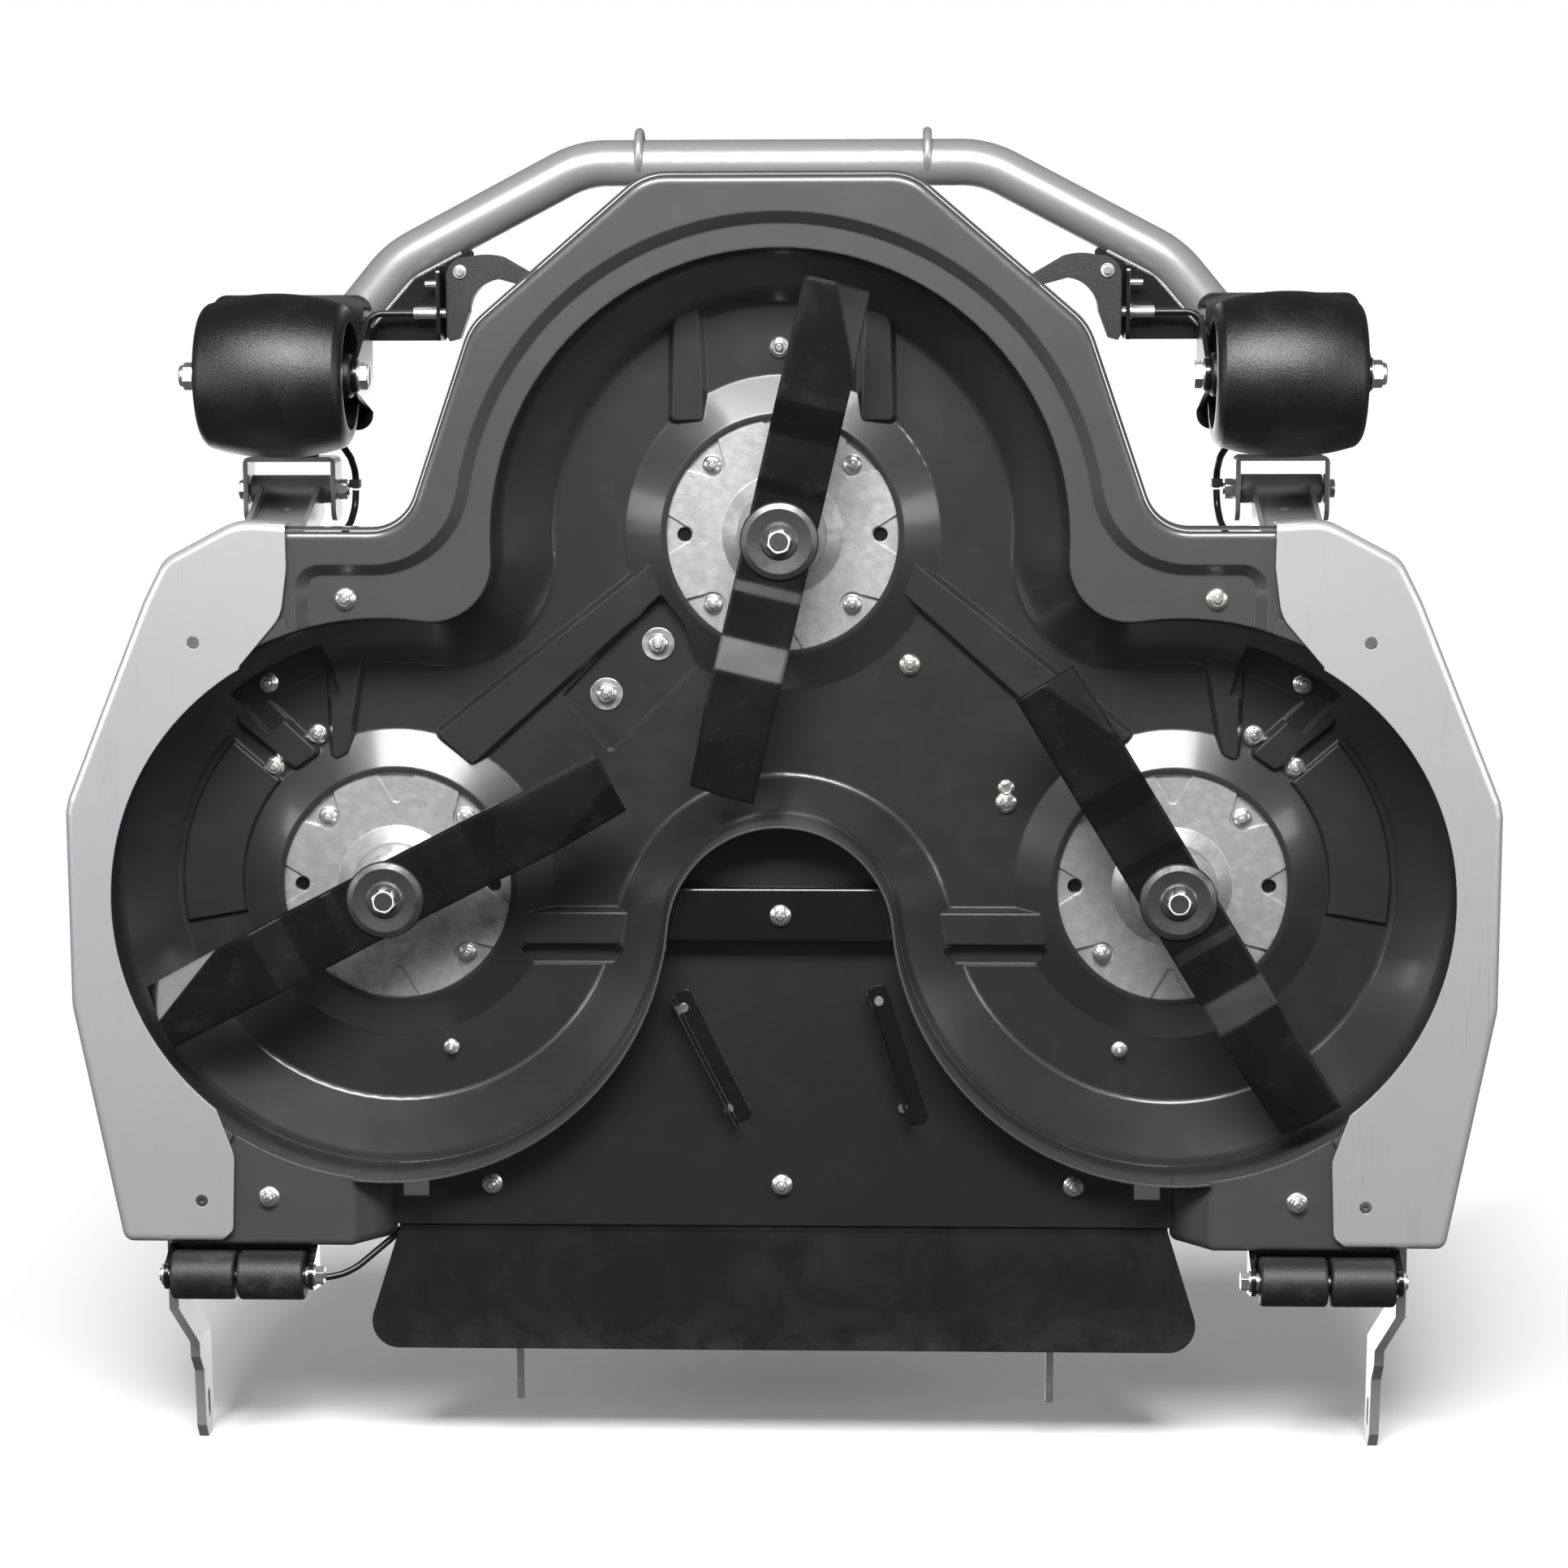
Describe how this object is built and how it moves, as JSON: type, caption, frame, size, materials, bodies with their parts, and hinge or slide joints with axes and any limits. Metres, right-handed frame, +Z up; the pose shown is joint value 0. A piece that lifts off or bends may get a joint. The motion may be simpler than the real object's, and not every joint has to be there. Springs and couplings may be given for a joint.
{
  "type": "lawn mower deck",
  "caption": "Front-mounted lawn mower deck with side-by-side blades on belt-driven spindles, mulching plug, folded side skirts, gauge wheels, rear rollers and a hinged front tube frame.",
  "frame": {"origin": "centre of the part's plan outline, on the floor that its wheels and rollers stand on", "axes": "+X to the deck's right side as the driver sits, +Y ahead to the front tube, +Z up"},
  "size_m": [1.441, 1.3702, 0.261],
  "materials": {
    "deck_paint": "dark grey gloss paint",
    "silver_paint": "silver paint",
    "zinc": "zinc plated",
    "cast_aluminium": "cast",
    "bearing_steel": "ground",
    "mount_steel": "dark paint",
    "shaft_steel": "turned",
    "blade_steel": "black, worn",
    "dark_steel": "oiled",
    "rubber": "matte",
    "black_paint": "black paint",
    "black_plastic": "black",
    "cable": "black sheath"
  },
  "bodies": {
    "deck": {"deck_shell": "deck_paint", "mulch_plug": "deck_paint", "plug_crossbar": "deck_paint", "chute_plate": "deck_paint", "chute_fins": "deck_paint", "skirt_right": "silver_paint", "skirt_left": "silver_paint", "link_arms": "silver_paint", "rear_arms": "silver_paint", "rear_brackets": "silver_paint", "skirt_fasteners": "zinc", "flange_nuts": "zinc", "small_nuts": "zinc", "fin_rivets": "zinc", "mount_nuts": "zinc", "spindle_screws": "zinc", "roller_axles": "zinc", "arm_bolts": "zinc", "idler_bolts": "zinc", "cable_stops": "zinc", "spindle_housing_front": "cast_aluminium", "spindle_housing_right": "cast_aluminium", "spindle_housing_left": "cast_aluminium", "spindle_bearings": "bearing_steel", "spindle_mounts": "mount_steel", "idler_bracket": "mount_steel", "rubber_flap": "rubber", "drive_belt": "rubber", "roller_brackets": "black_paint", "rear_rods": "black_paint", "deck_cables": "cable", "lift_cable": "cable"},
    "front_frame": {"bumper_tube": "silver_paint", "hinge_brackets": "silver_paint", "hinge_bolts": "zinc", "wheel_forks": "black_paint", "wheel_axles": "zinc", "latch_brackets": "black_paint", "latch_pins": "zinc", "frame_cables": "cable", "cable_clips": "black_plastic"},
    "wheel_right": {"wheel_right": "black_plastic"},
    "wheel_left": {"wheel_left": "black_plastic"},
    "latch_handle_right": {"latch_handle_right": "black_plastic"},
    "latch_handle_left": {"latch_handle_left": "black_plastic"},
    "roller_right_inner": {"roller_right_inner": "black_plastic"},
    "roller_right_outer": {"roller_right_outer": "black_plastic"},
    "roller_left_inner": {"roller_left_inner": "black_plastic"},
    "roller_left_outer": {"roller_left_outer": "black_plastic"},
    "idler": {"idler_pulley": "mount_steel"},
    "spindle_front": {"spindle_shaft_front": "shaft_steel", "blade_front": "blade_steel", "blade_bolt_front": "dark_steel"},
    "spindle_right": {"spindle_shaft_right": "shaft_steel", "blade_right": "blade_steel", "blade_bolt_right": "dark_steel"},
    "spindle_left": {"spindle_shaft_left": "shaft_steel", "blade_left": "blade_steel", "blade_bolt_left": "dark_steel"}
  },
  "joints": [
    {"name": "front_frame_hinge", "type": "hinge", "parent": "deck", "child": "front_frame", "pos_m": [0, 0.31643, 0.205], "axis": [-1, 0, 0], "range_deg": [0, 15]},
    {"name": "wheel_right_spin", "type": "hinge", "parent": "front_frame", "child": "wheel_right", "pos_m": [0.504, 0.43693, 0.082], "axis": [1, 0, 0], "continuous": true},
    {"name": "latch_right_turn", "type": "hinge", "parent": "front_frame", "child": "latch_handle_right", "pos_m": [0.33, 0.53992, 0.182], "axis": [0, 0, -1], "range_deg": [0, 20]},
    {"name": "roller_right_inner_spin", "type": "hinge", "parent": "deck", "child": "roller_right_inner", "pos_m": [0.519, -0.47478, 0.025], "axis": [1, 0, 0], "continuous": true},
    {"name": "roller_right_outer_spin", "type": "hinge", "parent": "deck", "child": "roller_right_outer", "pos_m": [0.58875, -0.47478, 0.025], "axis": [1, 0, 0], "continuous": true},
    {"name": "wheel_left_spin", "type": "hinge", "parent": "front_frame", "child": "wheel_left", "pos_m": [-0.504, 0.43693, 0.082], "axis": [1, 0, 0], "continuous": true},
    {"name": "latch_left_turn", "type": "hinge", "parent": "front_frame", "child": "latch_handle_left", "pos_m": [-0.33, 0.53992, 0.182], "axis": [0, 0, 1], "range_deg": [0, 20]},
    {"name": "roller_left_inner_spin", "type": "hinge", "parent": "deck", "child": "roller_left_inner", "pos_m": [-0.519, -0.47478, 0.025], "axis": [1, 0, 0], "continuous": true},
    {"name": "roller_left_outer_spin", "type": "hinge", "parent": "deck", "child": "roller_left_outer", "pos_m": [-0.58875, -0.47478, 0.025], "axis": [1, 0, 0], "continuous": true},
    {"name": "spindle_front_spin", "type": "hinge", "parent": "deck", "child": "spindle_front", "pos_m": [0, 0.27332, 0.222], "axis": [0, 0, 1], "continuous": true},
    {"name": "spindle_right_spin", "type": "hinge", "parent": "deck", "child": "spindle_right", "pos_m": [0.401, -0.09008, 0.222], "axis": [0, 0, 1], "continuous": true},
    {"name": "spindle_left_spin", "type": "hinge", "parent": "deck", "child": "spindle_left", "pos_m": [-0.401, -0.09008, 0.222], "axis": [0, 0, 1], "continuous": true},
    {"name": "idler_spin", "type": "hinge", "parent": "deck", "child": "idler", "pos_m": [-0.13, -0.17408, 0.222], "axis": [0, 0, 1], "continuous": true}
  ],
  "couplings": [
    {"joint": "spindle_right_spin", "follows": "spindle_front_spin", "ratio": 1},
    {"joint": "spindle_left_spin", "follows": "spindle_front_spin", "ratio": 1},
    {"joint": "idler_spin", "follows": "spindle_front_spin", "ratio": -1.6522}
  ]
}
